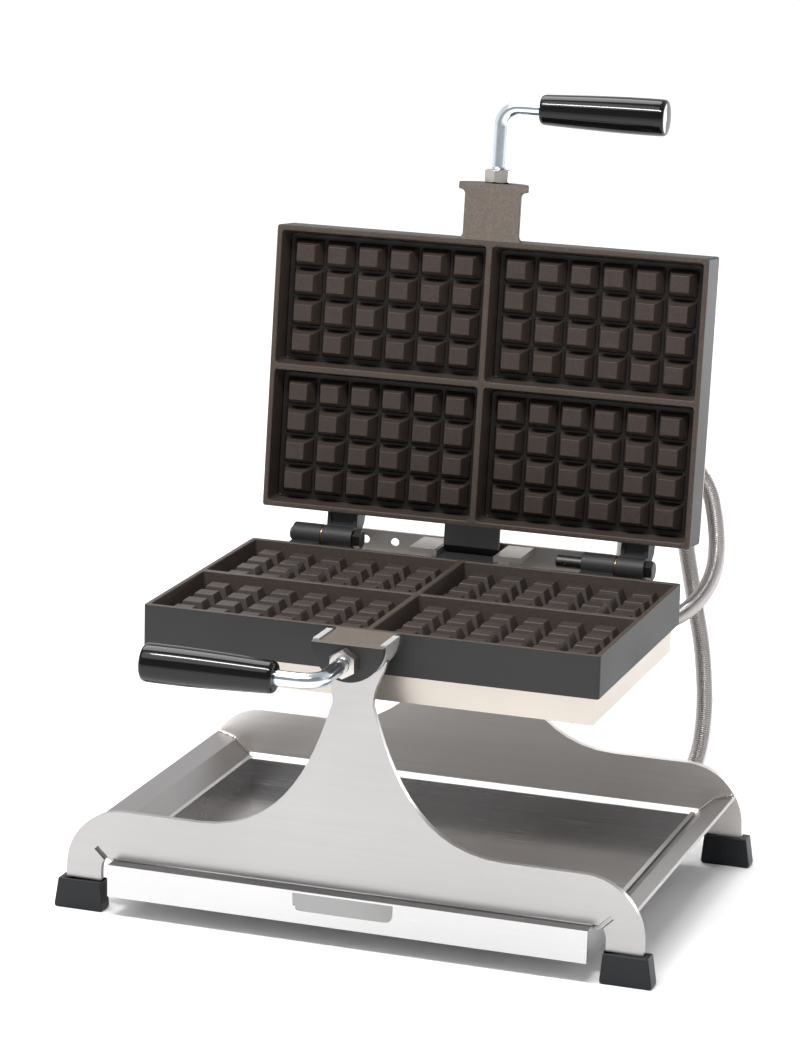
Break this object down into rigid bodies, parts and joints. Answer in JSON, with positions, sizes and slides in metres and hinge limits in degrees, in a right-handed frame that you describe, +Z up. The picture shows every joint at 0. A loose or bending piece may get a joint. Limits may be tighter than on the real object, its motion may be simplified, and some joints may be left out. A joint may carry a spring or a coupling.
{
  "type": "waffle maker",
  "caption": "Turning waffle iron: two hinged cast-iron plates of rectangular waffle pockets on a stainless steel stand, with side handles and a pull-out drip tray.",
  "frame": {"origin": "on the table, under the middle of the whole outline with the lid open", "axes": "+X to the operator's right, +Y to the back, +Z up"},
  "size_m": [0.4488, 0.457, 0.5741],
  "materials": {
    "stainless_sheet": "satin brushed stainless steel sheet",
    "cast_iron": "seasoned grey iron with a fine sand-cast grain, brown on the baking faces",
    "zinc_plated_steel": "bright bluish zinc plating",
    "grip_plastic": "glossy black moulded plastic",
    "foot_rubber": "smooth black moulded rubber",
    "conduit_steel": "spiral-wound bare steel strip",
    "gland_plastic": "black moulded nylon",
    "black_steel": "blackened steel",
    "washer_brass": "turned brass",
    "element_sheath": "heat-tinted steel sheath",
    "blanket_wool": "off-white mineral wool",
    "ceramic": "off-white glazed steatite"
  },
  "bodies": {
    "base": {"cross_plate_bolt_left": "zinc_plated_steel", "cross_plate_bolt_right": "zinc_plated_steel", "front_cradle": "stainless_sheet", "front_left_foot": "foot_rubber", "front_panel": "stainless_sheet", "front_right_foot": "foot_rubber", "left_side_rail": "stainless_sheet", "mains_inlet_gland": "gland_plastic", "rear_cradle": "stainless_sheet", "rear_cross_plate": "stainless_sheet", "rear_left_foot": "foot_rubber", "rear_panel": "stainless_sheet", "rear_right_foot": "foot_rubber", "right_side_rail": "stainless_sheet", "supply_conduit": "conduit_steel", "terminal_block": "ceramic", "terminal_box": "stainless_sheet", "terminal_box_gland": "zinc_plated_steel", "terminal_box_lid": "stainless_sheet", "terminal_box_screw_left": "zinc_plated_steel", "terminal_box_screw_right": "zinc_plated_steel"},
    "tray": {"drip_tray": "stainless_sheet"},
    "lower_half": {"hinge_bolt_left": "black_steel", "hinge_bolt_right": "black_steel", "hinge_washer_left": "washer_brass", "hinge_washer_right": "washer_brass", "lid_link_conduit": "conduit_steel", "lower_cover_screw_1": "zinc_plated_steel", "lower_cover_screw_2": "zinc_plated_steel", "lower_cover_screw_3": "zinc_plated_steel", "lower_cover_screw_4": "zinc_plated_steel", "lower_handle_grip": "grip_plastic", "lower_handle_nut": "zinc_plated_steel", "lower_handle_rod": "zinc_plated_steel", "lower_heater_blanket": "blanket_wool", "lower_heater_cover": "stainless_sheet", "lower_heater_element": "element_sheath", "lower_link_gland": "zinc_plated_steel", "lower_plate": "cast_iron", "lower_thermostat": "ceramic", "supply_conduit_gland": "zinc_plated_steel"},
    "upper_half": {"upper_cover_screw_1": "zinc_plated_steel", "upper_cover_screw_2": "zinc_plated_steel", "upper_cover_screw_3": "zinc_plated_steel", "upper_cover_screw_4": "zinc_plated_steel", "upper_handle_grip": "grip_plastic", "upper_handle_nut": "zinc_plated_steel", "upper_handle_rod": "zinc_plated_steel", "upper_heater_blanket": "blanket_wool", "upper_heater_cover": "stainless_sheet", "upper_heater_element": "element_sheath", "upper_link_gland": "zinc_plated_steel", "upper_plate": "cast_iron", "upper_thermostat": "ceramic"}
  },
  "joints": [
    {"name": "carriage_rock", "type": "hinge", "parent": "base", "child": "lower_half", "pos_m": [0, 0, 0.225], "axis": [0, 1, 0], "range_deg": [-1.3, 1.3], "deforming": ["supply_conduit"]},
    {"name": "lid_hinge", "type": "hinge", "parent": "lower_half", "child": "upper_half", "pos_m": [0, 0.12171, 0.227], "axis": [1, 0, 0], "range_deg": [0, 96.1], "deforming": ["lid_link_conduit"]},
    {"name": "tray_slide", "type": "slide", "parent": "base", "child": "tray", "axis": [0, -1, 0], "range_m": [0, 0.27]}
  ]
}
